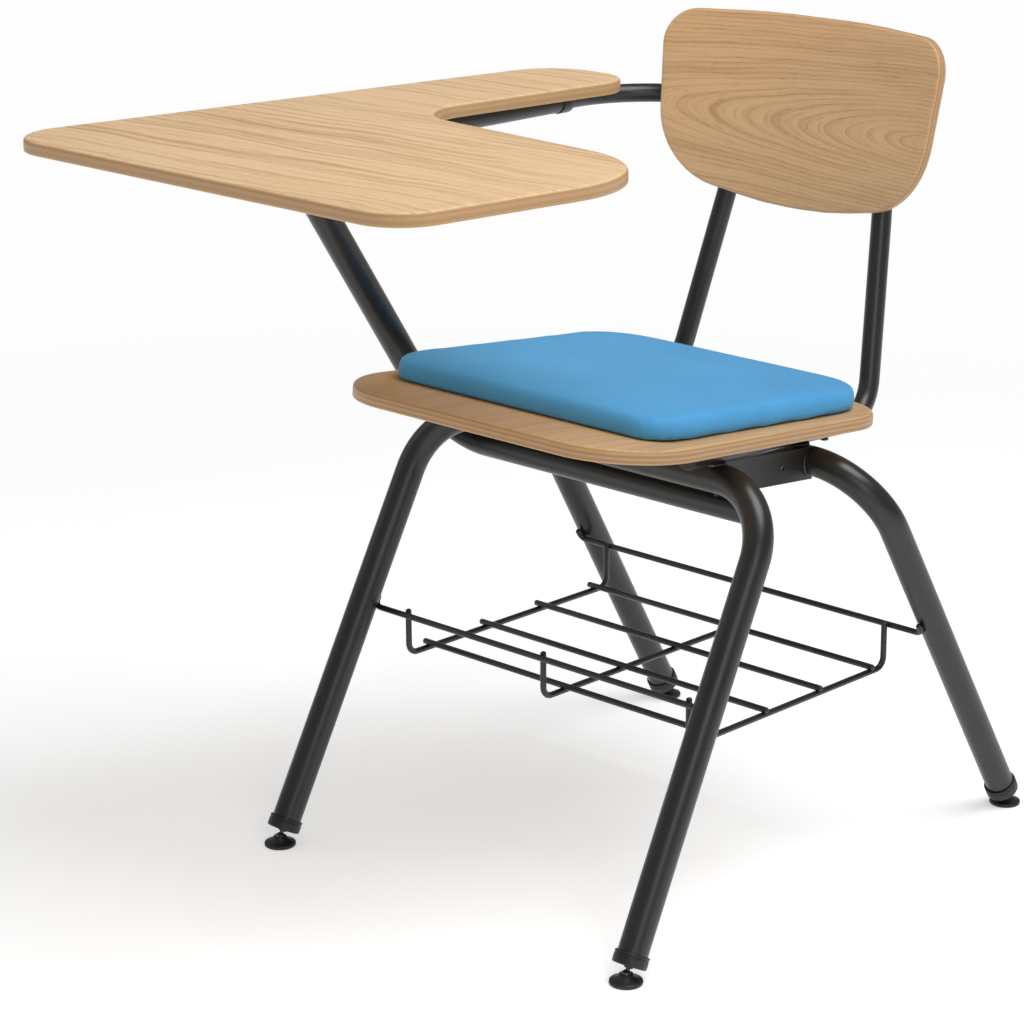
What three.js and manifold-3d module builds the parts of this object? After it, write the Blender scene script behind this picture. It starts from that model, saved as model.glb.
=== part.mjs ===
// A student desk chair: a bent-tube steel frame with a plywood seat and backrest, a seat
// cushion, a fixed L-shaped writing tablet on the sitter's right and a wire book rack.
// Millimetres, +Z up. The sitter faces -Y, the tablet is towards -X, and the floor is Z = 0.
import * as THREE from "three";
import { mergeVertices } from "three/addons/utils/BufferGeometryUtils.js";
import Module from "manifold-3d";

const wasm = await Module();
wasm.setup();

// ---- Driving dimensions ----

// The gap kept between pieces that touch, are welded or are pressed together.
const GAP = 0.3;

// Round steel tubes: outer radius and wall thickness.
const LEG_TUBE = { radius: 14.3, wall: 1.8 };
const BACK_TUBE = { radius: 10, wall: 1.5 };
const STUB_TUBE = { radius: 9.5, wall: 1.4 };
const ARM_TUBE = { radius: 11.5, wall: 1.4 };
const WIRE_RADIUS = 3;

// The seat board's underside: its height at Y = 0 and its slope down towards the back.
const SEAT_HEIGHT = 437.5;
const SEAT_TILT = 0.095;
const SEAT_BOARD = { frontHalf: 201, rearHalf: 190, front: -255, rear: 144, thick: 13, edge: 4 };
const CUSHION = { frontHalf: 180, rearHalf: 175, front: -192, rear: 134, thick: 24, edge: 8 };

// Each leg arch: where its leg lines meet the floor, its top bar, and its shoulder bends.
const FRONT_ARCH = { footX: 229.7, footY: -291, topX: 220, topY: -77, bend: 68 };
const REAR_ARCH = { footX: 229, footY: 297.5, topX: 221.5, topY: 63, bend: 73 };

// Self-levelling glides, a ball-ended stem in a conical disc, and the caps that hold them.
const GLIDE = { radius: 15.6, ballZ: 8.2, ball: 5, mouth: 1.6, neck: 2, stem: 4, collar: 4.4 };
const CAP = { bottomZ: 15.5, wall: 2.1, floor: 3, height: 12, boss: 8, bossHeight: 16 };

// Flat side plates between the two arches, with two holes in each.
const SIDE_PLATE = { x: 150, thick: 3, height: 31.5, drop: 1.45, hole: 2.6, holes: [-33, 25] };

// The back frame: two tubes that run forward under the seat and up behind the backrest.
const BACK_FRAME = { frontX: 156, frontY: -125, heelX: 124, heelY: 182, heelBend: 46 };
const BACK_KNEE = { x: 97.9, y: 229.5, z: 603.5, bend: 300 };
const BACK_TOP = { x: 79, z: 748 };
const BACK_SLOPE = 0.176;

// The backrest shell: its middle height, the curve it is pressed to and its thickness.
const BACKREST = { z: 695, radius: 600, thick: 11.5, contactX: 80 };
const BACKREST_BLANK = { halfWidth: 190, height: 220 };

// The tablet support: a crossbar under the seat that bends up into a forward-leaning strut,
// an arm tube along the tablet's underside, and a stub back to the sitter's right upright.
const SUPPORT = { x: -231.5, barY: -46, barZ: 374.8, barEnd: 170, slope: 0.6575, bend: 58.5 };
const ARM = { z: 688.5, front: -300, collarFront: 115, collarLength: 15, stubBend: 100 };

// The tablet board and the two steel plates that it is screwed to.
const TABLET = { thick: 12.7, edge: 4 };
const TABLET_PLATE_THICK = 2;

// The book rack: floor wires along X on three long wires along Y, and two end rails.
const RACK = { floorZ: 182, halfLength: 189, firstY: -124, pitch: 80.9, longX: 183 };
const RACK_ENDS = { front: -150.5, rear: 141, frontTop: 223.5, rearTop: 222.5, bend: 11 };
const RAIL = { z: 218.5, x: 224, turnUp: 11, bend: 7 };

// Plugs in the open tube ends: the stub's depth, then the heights of the rim and the dome.
const PLUG = { depth: 10, chamfer: 1, rim: 2, dome: 2.4 };

// Screws: shank and head radii, head height and depth into the wood.
const SCREW = { shank: 2.2, head: 4.6, headHeight: 2.6, bite: 9 };

// ---- Materials ----

function material(color, roughness, metalness) {
  return new THREE.MeshStandardMaterial({ color, roughness, metalness });
}
const STEEL = material(0x2a2928, 0.45, 0.4);
const SCREW_STEEL = material(0x1c1c1d, 0.35, 0.8);
const PLASTIC = material(0x141414, 0.5, 0);
const PLYWOOD = material(0xd9b78c, 0.5, 0);
const LAMINATE = material(0xe6c59b, 0.45, 0);
const FABRIC = material(0x4c9fd6, 0.85, 0);

// ---- Solids: closed geometry to manifold-3d and back ----

function toSolid(geometry) {
  const bare = geometry.clone();
  bare.deleteAttribute("normal");
  bare.deleteAttribute("uv");
  const merged = mergeVertices(bare, 1e-3);
  const triVerts = new Uint32Array(merged.index.array);
  const vertProperties = merged.attributes.position.array;
  return new wasm.Manifold(new wasm.Mesh({ numProp: 3, vertProperties, triVerts }));
}

function toGeometry(solid) {
  const mesh = solid.getMesh();
  const geometry = new THREE.BufferGeometry();
  geometry.setAttribute("position", new THREE.BufferAttribute(mesh.vertProperties, 3));
  geometry.setIndex(new THREE.BufferAttribute(mesh.triVerts, 1));
  const facets = geometry.toNonIndexed();
  facets.computeVertexNormals();
  return facets;
}

// The first geometry with all the others taken away.
function cut(geometry, ...tools) {
  const left = tools.reduce((solid, tool) => solid.subtract(toSolid(tool)), toSolid(geometry));
  return toGeometry(left);
}

// ---- Shapes ----

// A closed outline through corners of [x, y, radius], each corner rounded by an arc.
function roundedOutline(corners) {
  const points = corners.map(([x, y]) => new THREE.Vector2(x, y));
  const shape = new THREE.Shape();
  corners.forEach(([, , radius], i) => {
    const corner = points[i];
    const before = points[(i + points.length - 1) % points.length];
    const after = points[(i + 1) % points.length];
    const inward = corner.clone().sub(before).normalize();
    const outward = after.clone().sub(corner).normalize();
    const turn = Math.atan2(inward.cross(outward), inward.dot(outward));
    const reach = radius * Math.abs(Math.tan(turn / 2));
    const start = corner.clone().addScaledVector(inward, -reach);
    const side = Math.sign(turn);
    const toCentre = new THREE.Vector2(-inward.y, inward.x).multiplyScalar(side * radius);
    const centre = start.clone().add(toCentre);
    const angle = Math.atan2(start.y - centre.y, start.x - centre.x);
    if (i === 0) shape.moveTo(start.x, start.y);
    shape.absarc(centre.x, centre.y, radius, angle, angle + turn, side < 0);
  });
  shape.closePath();
  return shape;
}

// The same outline on both sides of X = 0, from the corners of its +X side.
function mirroredOutline(right) {
  const left = right.map(([x, y, radius]) => [-x, y, radius]).reverse();
  return roundedOutline([...right, ...left]);
}

// A flat board from Z = 0 up, with rounded edges.
function board(outline, thick, edge, arcSteps = 5) {
  const geometry = new THREE.ExtrudeGeometry(outline, {
    depth: thick - 2 * edge,
    curveSegments: arcSteps,
    bevelSegments: 2,
    bevelThickness: edge,
    bevelSize: edge,
    bevelOffset: -edge,
  });
  return geometry.translate(0, 0, edge);
}

function ring(outer, inner, sides) {
  const shape = new THREE.Shape().absarc(0, 0, outer, 0, 2 * Math.PI);
  if (inner > 0) shape.holes.push(new THREE.Path().absarc(0, 0, inner, 0, 2 * Math.PI, true));
  return { shape, curveSegments: sides / 2 };
}

// A path of straight runs and circular bends. It has one station at each end of a straight
// run and a few round each bend, so that a swept tube spends its facets on the bends.
class BentPath extends THREE.Curve {
  constructor(corners, radii, stepAngle = Math.PI / 14) {
    super();
    this.stations = [];
    corners.forEach((corner, i) => {
      const before = corners[i - 1];
      const after = corners[i + 1];
      if (!before || !after) {
        const tangent = (before ? corner : after).clone().sub(before ?? corner).normalize();
        this.stations.push({ point: corner, tangent });
        return;
      }
      this.addBend(before, corner, after, radii[i - 1], stepAngle);
    });
  }

  addBend(before, corner, after, radius, stepAngle) {
    const inward = corner.clone().sub(before).normalize();
    const outward = after.clone().sub(corner).normalize();
    const turn = inward.angleTo(outward);
    const axis = inward.clone().cross(outward).normalize();
    const start = corner.clone().addScaledVector(inward, -radius * Math.tan(turn / 2));
    const centre = start.clone().addScaledVector(axis.clone().cross(inward), radius);
    const steps = Math.max(2, Math.ceil(turn / stepAngle));
    for (let step = 0; step <= steps; step++) {
      const angle = (turn * step) / steps;
      const point = start.clone().sub(centre).applyAxisAngle(axis, angle).add(centre);
      const tangent = inward.clone().applyAxisAngle(axis, angle);
      this.stations.push({ point, tangent });
    }
  }

  station(u) {
    return this.stations[Math.round(u * (this.stations.length - 1))];
  }

  getPointAt(u, target = new THREE.Vector3()) {
    return target.copy(this.station(u).point);
  }

  getTangentAt(u, target = new THREE.Vector3()) {
    return target.copy(this.station(u).tangent);
  }
}

// A round tube, wire or rod swept along a path; inner is 0 for a solid one.
function sweep(path, outer, inner = 0, sides = 16) {
  const { shape, curveSegments } = ring(outer, inner, sides);
  const steps = path.stations.length - 1;
  return new THREE.ExtrudeGeometry(shape, { extrudePath: path, steps, curveSegments });
}

function tube(path, { radius, wall }) {
  return sweep(path, radius, radius - wall);
}

function straight(from, to) {
  return new BentPath([from, to], []);
}

// A turned piece about Z from a profile of [radius, z] points.
function turned(profile, sides = 16) {
  const points = profile.map(([radius, z]) => new THREE.Vector2(radius, z));
  return new THREE.LatheGeometry(points, sides).rotateX(Math.PI / 2);
}

// Points on a circle in the profile plane, between two angles from the +Z axis.
function profileArc(radius, centreZ, from, to, steps) {
  return Array.from({ length: steps + 1 }, (_, i) => {
    const angle = from + ((to - from) * i) / steps;
    return [radius * Math.sin(angle), centreZ + radius * Math.cos(angle)];
  });
}

// A pan-head screw along +Z: its head is under Z = 0 and its shank runs up from there.
function panScrew(length) {
  const { shank, head, headHeight } = SCREW;
  const profile = [
    [0, -headHeight],
    [head * 0.6, -headHeight],
    [head, -headHeight * 0.45],
    [head, 0],
    [shank, 0],
    [shank, length - 1],
    [0, length],
  ];
  return turned(profile, 12);
}

// A plug for a tube's end at Z = 0: its stub is inside the tube and its low dome is outside.
function plugGeometry({ radius, wall }) {
  const bore = radius - wall - GAP;
  return turned([
    [0, -PLUG.depth],
    [bore, -PLUG.depth],
    [bore, GAP],
    [radius, GAP],
    [radius - PLUG.chamfer, PLUG.rim],
    [0, PLUG.dome],
  ]);
}

function drill(radius, fromZ, toZ) {
  const geometry = new THREE.CylinderGeometry(radius, radius, toZ - fromZ, 12);
  return geometry.rotateX(Math.PI / 2).translate(0, 0, (fromZ + toZ) / 2);
}

// ---- Places ----

const chair = new THREE.Group();

function add(name, geometry, finish, parent = chair) {
  const mesh = new THREE.Mesh(geometry, finish);
  mesh.name = name;
  parent.add(mesh);
  return mesh;
}

function vector(x, y, z) {
  return new THREE.Vector3(x, y, z);
}

// The seat's own frame: X and Y lie in the board's underside and Z is its normal.
const seatFrame = new THREE.Group();
seatFrame.position.z = SEAT_HEIGHT;
seatFrame.rotation.x = -SEAT_TILT;
chair.add(seatFrame);
seatFrame.updateMatrixWorld(true);

function seatPoint(x, y, height) {
  return seatFrame.localToWorld(vector(x, y, height));
}

// ---- Leg arches, side plates and feet ----

// The arches' top bars touch the back frame's tubes, which touch the seat board.
function archTopZ(arch) {
  const below = (2 * BACK_TUBE.radius + LEG_TUBE.radius + 2 * GAP) / Math.cos(SEAT_TILT);
  return SEAT_HEIGHT - Math.tan(SEAT_TILT) * arch.topY - below;
}

function archCorners(arch, bottomZ) {
  const foot = vector(arch.footX, arch.footY, 0);
  const top = vector(arch.topX, arch.topY, archTopZ(arch));
  const start = foot.clone().lerp(top, bottomZ / top.z);
  const mirror = vector(-1, 1, 1);
  return [start.clone().multiply(mirror), top.clone().multiply(mirror), top, start];
}

function legArch(name, arch) {
  const axis = vector(arch.topX - arch.footX, arch.topY - arch.footY, archTopZ(arch)).normalize();
  const bottomZ = CAP.bottomZ + (CAP.floor + GAP) * axis.z;
  const path = new BentPath(archCorners(arch, bottomZ), [arch.bend, arch.bend]);
  add(name, tube(path, LEG_TUBE), STEEL);
}

function sidePlate(name, side) {
  const front = vector(0, FRONT_ARCH.topY, archTopZ(FRONT_ARCH));
  const rear = vector(0, REAR_ARCH.topY, archTopZ(REAR_ARCH));
  const { x, thick, height, drop, hole, holes } = SIDE_PLATE;
  const length = front.distanceTo(rear);
  const plate = new THREE.BoxGeometry(thick, length, height).translate(0, 0, -drop);
  const bar = new THREE.CylinderGeometry(LEG_TUBE.radius + GAP, LEG_TUBE.radius + GAP, 4 * thick, 24);
  bar.rotateZ(Math.PI / 2);
  const bars = [-1, 1].map((end) => bar.clone().translate(0, (end * length) / 2, 0));
  const drills = holes.map((y) =>
    new THREE.CylinderGeometry(hole, hole, 4 * thick, 12)
      .rotateZ(Math.PI / 2)
      .translate(0, y, -drop),
  );
  const mesh = add(name, cut(plate, ...bars, ...drills), STEEL);
  const middle = front.clone().add(rear).divideScalar(2);
  mesh.position.set(side * x, middle.y, middle.z);
  mesh.rotation.x = Math.atan2(rear.z - front.z, rear.y - front.y);
}

// A black cap pressed over the end of a leg, with a boss inside the tube for the stem.
function capGeometry() {
  const outer = LEG_TUBE.radius + CAP.wall;
  const inner = LEG_TUBE.radius + GAP;
  const bore = GLIDE.stem + GAP;
  return turned([
    [bore, 0],
    [outer - 1.2, 0],
    [outer, 1.2],
    [outer, CAP.height],
    [inner, CAP.height],
    [inner, CAP.floor],
    [CAP.boss, CAP.floor],
    [CAP.boss, CAP.bossHeight],
    [bore, CAP.bossHeight],
    [bore, 0],
  ]);
}

// The stem's ball is centred on Z = 0, and toCap is the height of the cap's underside.
function stemGeometry(toCap) {
  const { ball, neck, stem, collar } = GLIDE;
  const ballTop = Math.asin(neck / ball);
  return turned([
    ...profileArc(ball, 0, Math.PI, ballTop, 6),
    [neck, toCap - 2.4],
    [collar, toCap - 1.6],
    [collar, toCap - GAP],
    [stem, toCap - GAP],
    [stem, toCap + CAP.bossHeight - 2],
    [0, toCap + CAP.bossHeight - 1],
  ]);
}

// The glide's disc: flat below, conical above, with a socket that holds the stem's ball.
function discGeometry() {
  const { radius, ballZ, ball, mouth } = GLIDE;
  const socket = ball + GAP;
  const lip = Math.acos(mouth / socket);
  return turned(
    [
      [0, 0],
      [radius - 1, 0],
      [radius, 1],
      [radius, 3],
      [socket + 4, 5.4],
      [socket + 1, 9.4],
      [socket + 0.6, 9.8],
      ...profileArc(socket, ballZ, lip, Math.PI, 6),
    ],
    20,
  );
}

function foot(name, arch, side) {
  const base = vector(side * arch.footX, arch.footY, 0);
  const top = vector(side * arch.topX, arch.topY, archTopZ(arch));
  const axis = top.clone().sub(base).normalize();
  const lean = new THREE.Quaternion().setFromUnitVectors(vector(0, 0, 1), axis);
  const onLeg = (z) => base.clone().lerp(top, z / top.z);
  const ball = onLeg(GLIDE.ballZ);
  const capBottom = onLeg(CAP.bottomZ);
  const cap = add(name + "_leg_cap", capGeometry(), PLASTIC);
  cap.position.copy(capBottom);
  cap.quaternion.copy(lean);
  const stem = add(name + "_glide_stem", stemGeometry(capBottom.distanceTo(ball)), SCREW_STEEL);
  stem.position.copy(ball);
  stem.quaternion.copy(lean);
  const disc = add(name + "_glide_disc", discGeometry(), PLASTIC);
  disc.position.set(ball.x, ball.y, 0);
}

// ---- Back frame: uprights and their end plugs ----

// A point on the upper, straight part of an upright, by its height.
function uprightPoint(side, z) {
  const along = (z - BACK_KNEE.z) / (BACK_TOP.z - BACK_KNEE.z);
  const x = BACK_KNEE.x + (BACK_TOP.x - BACK_KNEE.x) * along;
  return vector(side * x, BACK_KNEE.y + BACK_SLOPE * (z - BACK_KNEE.z), z);
}

function uprightPath(side) {
  const { frontX, frontY, heelX, heelY, heelBend } = BACK_FRAME;
  const under = -(BACK_TUBE.radius + GAP);
  const corners = [
    seatPoint(side * frontX, frontY, under),
    seatPoint(side * heelX, heelY, under),
    uprightPoint(side, BACK_KNEE.z),
    uprightPoint(side, BACK_TOP.z),
  ];
  return new BentPath(corners, [heelBend, BACK_KNEE.bend]);
}

// The screws of the seat lie along the seat's normal, two on each under-seat tube.
const SEAT_SCREW_Y = [-85, 106];
function seatScrewX(y) {
  const { frontX, frontY, heelX, heelY } = BACK_FRAME;
  return frontX + ((heelX - frontX) * (y - frontY)) / (heelY - frontY);
}

// The screws of the backrest, two on each upright, at these heights.
const BACK_SCREW_Z = [645, 730];
const backTilt = Math.atan(BACK_SLOPE);

// A tool or screw made along +Z, laid along the backrest's normal, pointing at the sitter.
function towardsSitter(geometry, side, z) {
  const centre = uprightPoint(side, z);
  return geometry.rotateX(Math.PI / 2 - backTilt).translate(centre.x, centre.y, centre.z);
}

function upright(name, side) {
  const reach = BACK_TUBE.radius + 5;
  const clearance = SCREW.shank + GAP;
  const seatHoles = SEAT_SCREW_Y.map((y) => {
    const hole = drill(clearance, -2 * reach, 2);
    hole.translate(side * seatScrewX(y), y, 0);
    return hole.applyMatrix4(seatFrame.matrixWorld);
  });
  const backHoles = BACK_SCREW_Z.map((z) => towardsSitter(drill(clearance, -reach, reach), side, z));
  const path = uprightPath(side);
  add(name + "_back_upright", cut(tube(path, BACK_TUBE), ...seatHoles, ...backHoles), STEEL);
  const plug = plugGeometry(BACK_TUBE);
  const ends = { front: path.stations[0], top: path.stations[path.stations.length - 1] };
  for (const [place, { point, tangent }] of Object.entries(ends)) {
    const outward = tangent.clone().multiplyScalar(place === "front" ? -1 : 1);
    const mesh = add(`${name}_${place}_tube_plug`, plug, PLASTIC);
    mesh.position.copy(point);
    mesh.quaternion.setFromUnitVectors(vector(0, 0, 1), outward);
  }
}

// ---- Seat board, cushion and their screws ----

function seatBoard() {
  const { frontHalf, rearHalf, front, rear, thick, edge } = SEAT_BOARD;
  const outline = mirroredOutline([
    [frontHalf, front, 84],
    [rearHalf, rear, 64],
  ]);
  const holes = [-1, 1].flatMap((side) =>
    SEAT_SCREW_Y.map((y) =>
      drill(SCREW.shank + GAP, -2, SCREW.bite + GAP).translate(side * seatScrewX(y), y, 0),
    ),
  );
  add("seat_board", cut(board(outline, thick, edge), ...holes), PLYWOOD, seatFrame);
}

function seatScrews() {
  const headZ = -(2 * BACK_TUBE.radius + 2 * GAP);
  for (const [name, side] of [["right", -1], ["left", 1]]) {
    SEAT_SCREW_Y.forEach((y, i) => {
      const length = SCREW.bite - headZ;
      const label = `${name}_${i === 0 ? "front" : "rear"}_seat_screw`;
      const screw = add(label, panScrew(length), SCREW_STEEL, seatFrame);
      screw.position.set(side * seatScrewX(y), y, headZ);
    });
  }
}

function cushion() {
  const { frontHalf, rearHalf, front, rear, thick, edge } = CUSHION;
  const outline = mirroredOutline([
    [frontHalf, front, 36],
    [rearHalf, rear, 58],
  ]);
  const pad = add("seat_cushion", board(outline, thick, edge, 4), FABRIC, seatFrame);
  pad.position.z = SEAT_BOARD.thick + GAP;
}

// ---- Backrest ----

// A band pressed to a curve that is hollow towards the sitter, trimmed to its outline.
function backrest() {
  const { z, radius, thick, contactX } = BACKREST;
  const outer = radius + thick;
  const centreY = -(BACK_TUBE.radius + GAP) - Math.sqrt(outer ** 2 - contactX ** 2);
  const { halfWidth, height } = BACKREST_BLANK;
  const half = Math.asin(halfWidth / radius);
  const band = new THREE.Shape();
  band.absarc(0, centreY, outer, Math.PI / 2 - half, Math.PI / 2 + half, false);
  band.absarc(0, centreY, radius, Math.PI / 2 + half, Math.PI / 2 - half, true);
  const shell = new THREE.ExtrudeGeometry(band, {
    depth: height,
    curveSegments: 9,
    bevelEnabled: false,
  }).translate(0, 0, -height / 2);
  const outline = mirroredOutline([
    [39, -103, 390],
    [163.5, -84, 80],
    [177, 78.5, 37],
    [60, 86.5, 790],
  ]);
  const prism = new THREE.ExtrudeGeometry(outline, {
    depth: 160,
    curveSegments: 5,
    bevelEnabled: false,
  });
  prism.rotateX(Math.PI / 2).translate(0, 80, 0);
  const holes = [-1, 1].flatMap((side) =>
    BACK_SCREW_Z.map((screwZ) => {
      const { x } = uprightPoint(side, screwZ);
      const along = (screwZ - z) / Math.cos(backTilt);
      return drill(SCREW.shank + GAP, 0, BACK_TUBE.radius + 7)
        .rotateX(Math.PI / 2)
        .translate(side * Math.abs(x), 0, along);
    }),
  );
  const panel = holes.reduce(
    (solid, hole) => solid.subtract(toSolid(hole)),
    toSolid(shell).intersect(toSolid(prism)),
  );
  const mesh = add("backrest", toGeometry(panel), PLYWOOD);
  mesh.position.copy(uprightPoint(1, z).setX(0));
  mesh.rotation.x = -backTilt;
}

function backScrews() {
  const length = 2 * BACK_TUBE.radius + GAP + 6;
  for (const [name, side] of [["right", -1], ["left", 1]]) {
    BACK_SCREW_Z.forEach((z, i) => {
      const screw = panScrew(length).translate(0, 0, -(BACK_TUBE.radius + GAP));
      const label = `${name}_${i === 0 ? "lower" : "upper"}_back_screw`;
      add(label, towardsSitter(screw, side, z), SCREW_STEEL);
    });
  }
}

// ---- Tablet support ----

function solidRod(from, to, radius) {
  return sweep(straight(from, to), radius, 0, 24);
}

// The crossbar and strut are one bent tube, its top end saddled to the arm tube.
function tabletSupport() {
  const { x, barY, barZ, barEnd, slope, bend } = SUPPORT;
  const rise = ARM.z + 10 - barZ;
  const corners = [
    vector(barEnd, barY, barZ),
    vector(x, barY, barZ),
    vector(x, barY - slope * rise, barZ + rise),
  ];
  const saddle = solidRod(
    vector(x, ARM.front - 200, ARM.z),
    vector(x, 200, ARM.z),
    ARM_TUBE.radius + GAP,
  );
  const above = new THREE.BoxGeometry(200, 200, 60).translate(x, corners[2].y, ARM.z + 28);
  add("tablet_support_tube", cut(tube(new BentPath(corners, [bend]), LEG_TUBE), saddle, above), STEEL);
  const plug = add("crossbar_end_plug", plugGeometry(LEG_TUBE), PLASTIC);
  plug.position.copy(corners[0]);
  plug.rotation.y = Math.PI / 2;
}

function armTubes() {
  const { x } = SUPPORT;
  const { z, front, collarFront, collarLength, stubBend } = ARM;
  const armEnd = collarFront - GAP;
  add("arm_tube", tube(straight(vector(x, front, z), vector(x, armEnd, z)), ARM_TUBE), STEEL);
  const inner = STUB_TUBE.radius + GAP;
  const collarProfile = [
    [inner, 0],
    [ARM_TUBE.radius + 0.6, 0],
    [ARM_TUBE.radius + 1.2, 1],
    [ARM_TUBE.radius + 1.2, collarLength - 2.5],
    [inner + 0.6, collarLength],
    [inner, collarLength],
    [inner, 0],
  ];
  const collar = add("arm_collar", turned(collarProfile), STEEL);
  collar.rotation.x = -Math.PI / 2;
  collar.position.set(x, collarFront, z);
  const inserted = 40;
  const post = uprightPoint(-1, z);
  const corners = [vector(x, armEnd - inserted, z), vector(x, post.y, z), vector(post.x, post.y, z)];
  const low = uprightPoint(-1, z - 60);
  const high = uprightPoint(-1, z + 50);
  const cope = solidRod(low, high, BACK_TUBE.radius + GAP);
  const stub = cut(tube(new BentPath(corners, [stubBend]), STUB_TUBE), cope);
  add("arm_stub_tube", largestPiece(stub), STEEL);
  const plug = add("arm_tube_front_plug", plugGeometry(ARM_TUBE), PLASTIC);
  plug.rotation.x = Math.PI / 2;
  plug.position.set(x, front, z);
}

// The biggest body of a cut geometry, without the slivers that a cope leaves behind.
function largestPiece(geometry) {
  const bodies = toSolid(geometry).decompose();
  const biggest = bodies.reduce((best, body) => (body.volume() > best.volume() ? body : best));
  return toGeometry(biggest);
}

// ---- Tablet and its plates ----

const PLATE_Z = ARM.z + ARM_TUBE.radius + GAP;
const TABLET_Z = PLATE_Z + TABLET_PLATE_THICK + GAP;
const TABLET_PLATES = {
  front: {
    x: [SUPPORT.x - 85, SUPPORT.x + 205],
    y: [-290, -235],
    screws: [
      [SUPPORT.x - 70, -262],
      [SUPPORT.x + 60, -262],
      [SUPPORT.x + 190, -262],
    ],
  },
  rear: {
    x: [SUPPORT.x - 32, SUPPORT.x + 32],
    y: [10, 60],
    screws: [
      [SUPPORT.x - 22, 35],
      [SUPPORT.x + 22, 35],
    ],
  },
};

function tabletPlates() {
  for (const [place, { x, y, screws }] of Object.entries(TABLET_PLATES)) {
    const corner = 8;
    const outline = roundedOutline([
      [x[0], y[0], corner],
      [x[1], y[0], corner],
      [x[1], y[1], corner],
      [x[0], y[1], corner],
    ]);
    for (const [screwX, screwY] of screws) {
      const radius = SCREW.shank + GAP;
      outline.holes.push(new THREE.Path().absarc(screwX, screwY, radius, 0, 2 * Math.PI, true));
    }
    const plate = new THREE.ExtrudeGeometry(outline, {
      depth: TABLET_PLATE_THICK,
      curveSegments: 4,
      bevelEnabled: false,
    });
    add(`${place}_tablet_plate`, plate, STEEL).position.z = PLATE_Z;
    screws.forEach(([screwX, screwY], i) => {
      const length = TABLET_PLATE_THICK + 2 * GAP + SCREW.bite;
      const screw = add(`${place}_tablet_screw_${i + 1}`, panScrew(length), SCREW_STEEL);
      screw.position.set(screwX, screwY, PLATE_Z - GAP);
    });
  }
}

// The tablet is an L: a wide writing area across the lap and a narrow armrest behind it.
function tablet() {
  const outline = roundedOutline([
    [-385, -473, 51],
    [147, -480, 49],
    [189, -169, 115],
    [-191, -133, 60],
    [-158, 162, 42],
    [-279, 163, 62],
  ]);
  const holes = Object.values(TABLET_PLATES).flatMap(({ screws }) =>
    screws.map(([x, y]) => drill(SCREW.shank + GAP, -2, SCREW.bite + GAP).translate(x, y, 0)),
  );
  const top = add("tablet_top", cut(board(outline, TABLET.thick, TABLET.edge), ...holes), LAMINATE);
  top.position.z = TABLET_Z;
}

// ---- Book rack ----

function wire(name, corners, radii = []) {
  const path = new BentPath(corners, radii, Math.PI / 8);
  add(name, sweep(path, WIRE_RADIUS, 0, 8), STEEL);
}

function bookRack() {
  const { floorZ, halfLength, firstY, pitch, longX } = RACK;
  for (let i = 0; i < 4; i++) {
    const y = firstY + i * pitch;
    wire(`rack_cross_wire_${i + 1}`, [vector(-halfLength, y, floorZ), vector(halfLength, y, floorZ)]);
  }
  const { front, rear, frontTop, rearTop, bend } = RACK_ENDS;
  const longZ = floorZ - 2 * WIRE_RADIUS - GAP;
  ["right", "middle", "left"].forEach((place, i) => {
    const x = (i - 1) * longX;
    const corners = [
      vector(x, front, frontTop),
      vector(x, front, longZ),
      vector(x, rear, longZ),
      vector(x, rear, rearTop),
    ];
    wire(`rack_${place}_long_wire`, corners, [bend, bend]);
  });
  const ends = { front: [front, FRONT_ARCH, -1], rear: [rear, REAR_ARCH, 1] };
  for (const [place, [wireY, arch, outward]] of Object.entries(ends)) {
    const railY = wireY + outward * (2 * WIRE_RADIUS + GAP);
    const lean = (arch.topY - arch.footY) / archTopZ(arch);
    const tip = vector(RAIL.x, railY + lean * RAIL.turnUp, RAIL.z + RAIL.turnUp);
    const corner = vector(RAIL.x, railY, RAIL.z);
    const mirror = vector(-1, 1, 1);
    const corners = [tip.clone().multiply(mirror), corner.clone().multiply(mirror), corner, tip];
    wire(`rack_${place}_rail`, corners, [RAIL.bend, RAIL.bend]);
  }
}

// ---- Assembly ----

legArch("front_leg_arch", FRONT_ARCH);
legArch("rear_leg_arch", REAR_ARCH);
sidePlate("right_side_plate", -1);
sidePlate("left_side_plate", 1);
for (const [name, side] of [["right", -1], ["left", 1]]) {
  foot(`front_${name}`, FRONT_ARCH, side);
  foot(`rear_${name}`, REAR_ARCH, side);
  upright(name, side);
}
seatBoard();
seatScrews();
cushion();
backrest();
backScrews();
tabletSupport();
armTubes();
tabletPlates();
tablet();
bookRack();

// The part's origin is on the floor, under the middle of the whole chair.
const box = new THREE.Box3().setFromObject(chair, true);
chair.position.set(-(box.min.x + box.max.x) / 2, -(box.min.y + box.max.y) / 2, -box.min.z);

export default chair;
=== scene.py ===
import math
import bmesh
import bpy
from mathutils import Matrix, Quaternion, Vector


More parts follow.
